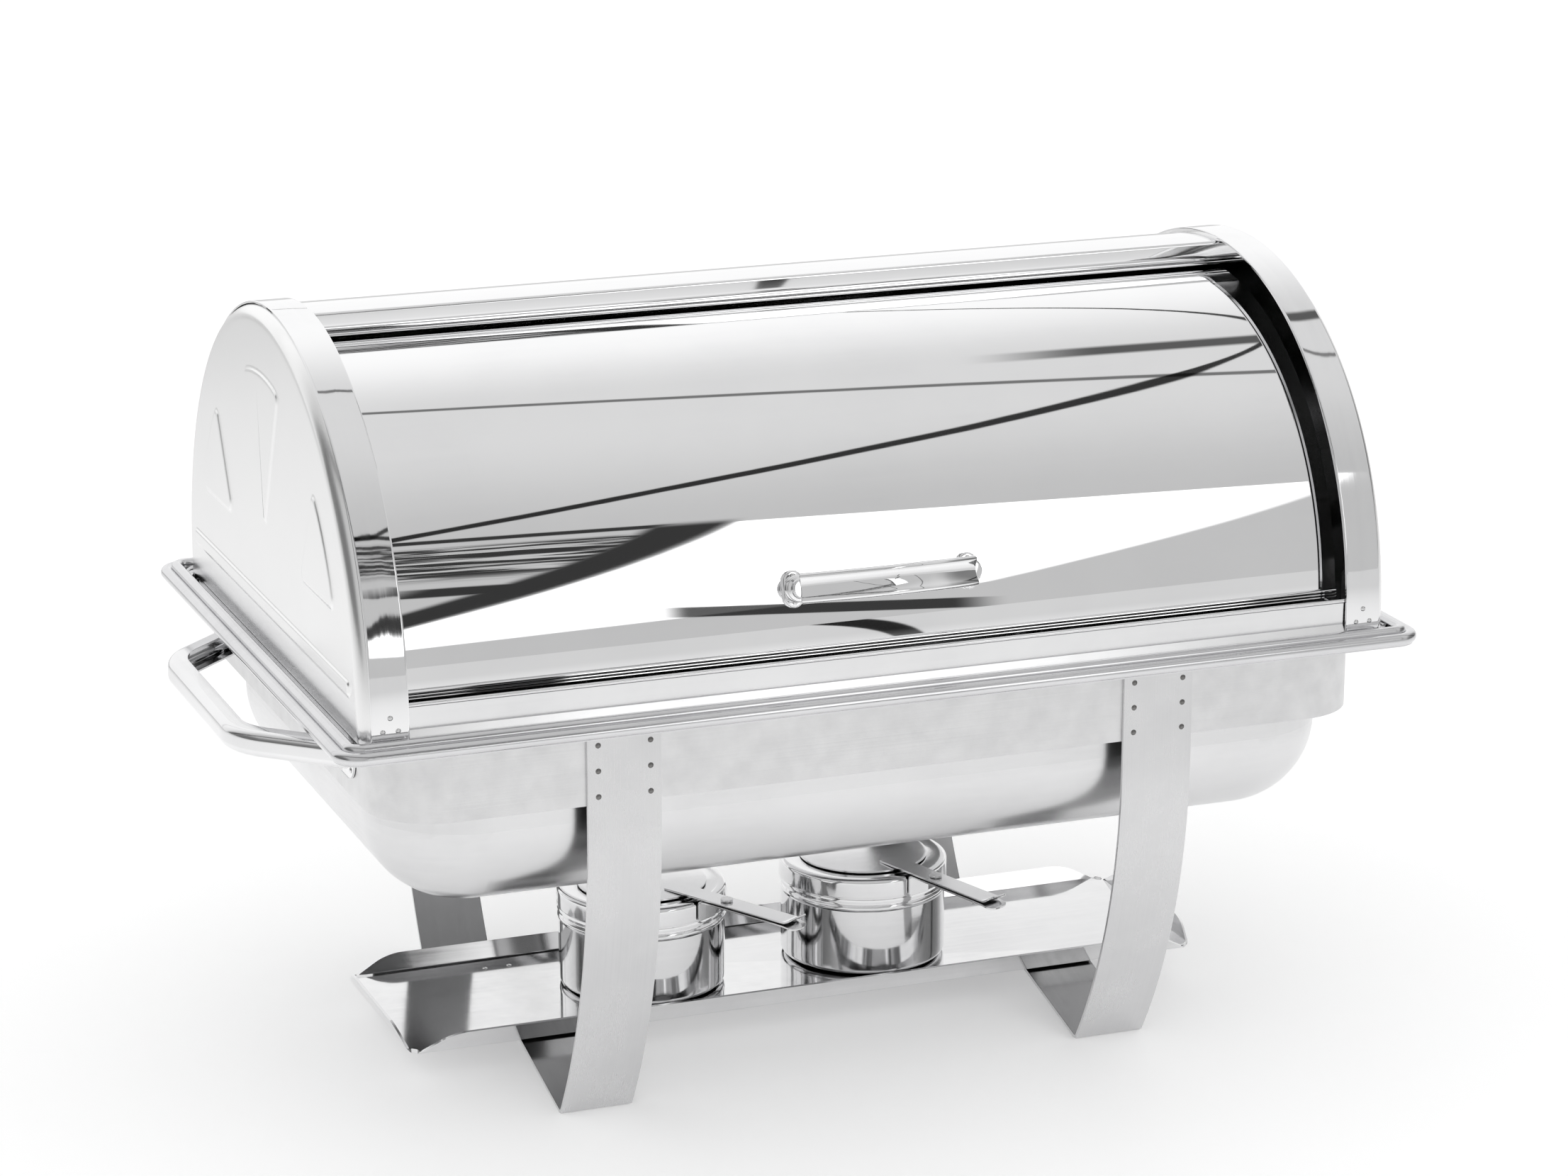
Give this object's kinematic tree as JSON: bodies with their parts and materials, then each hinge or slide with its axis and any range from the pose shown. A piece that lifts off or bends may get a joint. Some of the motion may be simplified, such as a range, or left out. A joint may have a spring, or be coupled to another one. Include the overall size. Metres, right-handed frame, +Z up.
{
  "type": "roll top chafer",
  "caption": "Table-top food warmer: half-round cover that rolls back over a rectangular pan in a legged frame, with a fuel tray below.",
  "frame": {"origin": "centre of the footprint on the table", "axes": "+X along the length towards the right end, -Y towards the user at the cover handle, +Z up"},
  "size_m": [0.608, 0.355, 0.3877],
  "materials": {
    "rim_steel": "satin polished stainless steel",
    "brushed_frame": "brushed stainless steel",
    "weld_marks": "spot-welded or riveted stainless steel",
    "bright_tray": "bright rolled stainless sheet",
    "polished_handle": "polished stainless steel",
    "satin_pan": "satin deep-drawn stainless steel",
    "pressed_panel": "pale satin pressed stainless steel",
    "mirror_dome": "mirror polished stainless steel",
    "turned_steel": "plain stainless steel",
    "cast_chrome": "bright chromed casting",
    "bright_burner": "bright spun stainless steel"
  },
  "bodies": {
    "frame": {"rim_frame": "rim_steel", "collar": "brushed_frame", "leg_left": "brushed_frame", "leg_right": "brushed_frame", "leg_welds": "weld_marks", "fuel_tray": "bright_tray", "tray_welds": "weld_marks", "handle_left": "polished_handle", "handle_right": "polished_handle", "handle_welds": "weld_marks", "water_pan": "satin_pan", "food_pan": "satin_pan"},
    "lid": {"end_panel_left": "pressed_panel", "end_panel_right": "pressed_panel", "end_band_left": "mirror_dome", "end_band_right": "mirror_dome", "band_welds": "weld_marks", "front_skirt": "pressed_panel", "rear_shell": "mirror_dome", "pivot_pin_left": "turned_steel", "pivot_pin_right": "turned_steel", "stop_tabs": "turned_steel"},
    "cover": {"roll_cover": "mirror_dome", "cover_end_left": "turned_steel", "cover_end_right": "turned_steel", "cover_handle": "cast_chrome", "handle_rivets": "weld_marks"},
    "burner_left": {"burner_cup_left": "bright_burner", "burner_ring_left": "bright_burner", "lever_bracket_left": "bright_burner", "lever_rivet_left": "turned_steel"},
    "snuffer_arm_left": {"snuffer_left": "bright_burner"},
    "burner_right": {"burner_cup_right": "bright_burner", "burner_ring_right": "bright_burner", "lever_bracket_right": "bright_burner", "lever_rivet_right": "turned_steel"},
    "snuffer_arm_right": {"snuffer_right": "bright_burner"}
  },
  "joints": [
    {"name": "lid_lift", "type": "slide", "parent": "frame", "child": "lid", "axis": [0, 0, 1], "range_m": [0, 0.2]},
    {"name": "cover_roll", "type": "hinge", "parent": "lid", "child": "cover", "pos_m": [0, 0, 0.224], "axis": [-1, 0, 0], "range_deg": [0, 65]},
    {"name": "burner_lift_left", "type": "slide", "parent": "frame", "child": "burner_left", "axis": [0, 0, 1], "range_m": [0, 0.03]},
    {"name": "burner_lift_right", "type": "slide", "parent": "frame", "child": "burner_right", "axis": [0, 0, 1], "range_m": [0, 0.03]},
    {"name": "snuffer_swing_left", "type": "hinge", "parent": "burner_left", "child": "snuffer_arm_left", "pos_m": [-0.04488, -0.05073, 0.0728], "axis": [0, 0, 1], "range_deg": [0, 80]},
    {"name": "snuffer_swing_right", "type": "hinge", "parent": "burner_right", "child": "snuffer_arm_right", "pos_m": [0.06831, -0.05504, 0.0728], "axis": [0, 0, -1], "range_deg": [0, 80]}
  ]
}
